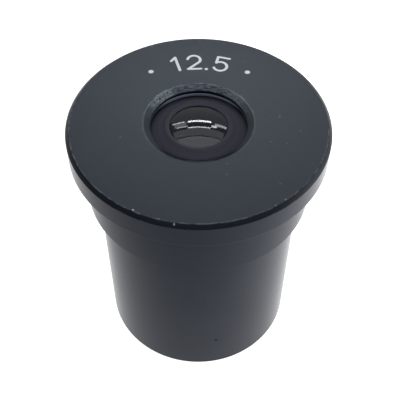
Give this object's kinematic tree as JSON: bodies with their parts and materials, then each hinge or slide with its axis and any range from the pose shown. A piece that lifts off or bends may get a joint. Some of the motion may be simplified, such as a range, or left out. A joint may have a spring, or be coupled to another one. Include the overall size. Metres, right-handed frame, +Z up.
{
  "type": "microscope eyepiece",
  "caption": "Wide-field eyepiece: a flat disc head with a small domed eye lens screws into a plain push-in tube that holds a lens stack and a screw-adjusted field stop",
  "frame": {"origin": "centre of the push-in tube's open end, on the optical axis", "axes": "+Z runs up the optical axis towards the eye, and the marks on the head stand on its +Y side"},
  "size_m": [0.0285, 0.0284, 0.0325],
  "materials": {
    "tube_anodised": "black anodised, fine turned satin",
    "head_anodised": "black anodised, smooth satin",
    "mark_paint": "white engraving paint",
    "barrel_black": "matt black anodised",
    "ring_black": "matt black anodised, turned",
    "carrier_black": "matt black anodised, turned",
    "stop_black": "dead black",
    "lens_glass": "clear, thin cool anti-reflection tint",
    "flint_glass": "clear"
  },
  "bodies": {
    "tube": {"body_tube": "tube_anodised"},
    "lens_stack": {"eye_lens": "lens_glass", "upper_spacer": "ring_black", "middle_lens": "lens_glass", "lower_spacer": "ring_black", "crown_lens": "lens_glass", "flint_lens": "flint_glass"},
    "head": {"eye_cap": "head_anodised", "marking_paint": "mark_paint", "lens_barrel": "barrel_black", "barrel_lock_ring": "ring_black", "lens_retainer": "ring_black"},
    "diaphragm": {"field_stop": "stop_black"},
    "stop_ring": {"stop_carrier": "carrier_black", "stop_retainer": "ring_black"}
  },
  "joints": [
    {"name": "head_lift", "type": "slide", "parent": "tube", "child": "lens_stack", "axis": [0, 0, 1], "range_m": [0, 0.0034]},
    {"name": "head_turn", "type": "hinge", "parent": "lens_stack", "child": "head", "pos_m": [0, 0, 0.0273], "axis": [0, 0, 1], "range_deg": [0, 1620]},
    {"name": "stop_lift", "type": "slide", "parent": "tube", "child": "diaphragm", "axis": [0, 0, 1], "range_m": [-0.0016, 0.0008]},
    {"name": "stop_turn", "type": "hinge", "parent": "diaphragm", "child": "stop_ring", "pos_m": [0, 0, 0.0136], "axis": [0, 0, 1], "range_deg": [-720, 360]}
  ],
  "couplings": [
    {"joint": "head_lift", "follows": "head_turn", "m_per_rad": 0.00011937},
    {"joint": "stop_lift", "follows": "stop_turn", "m_per_rad": 0.00011937}
  ]
}
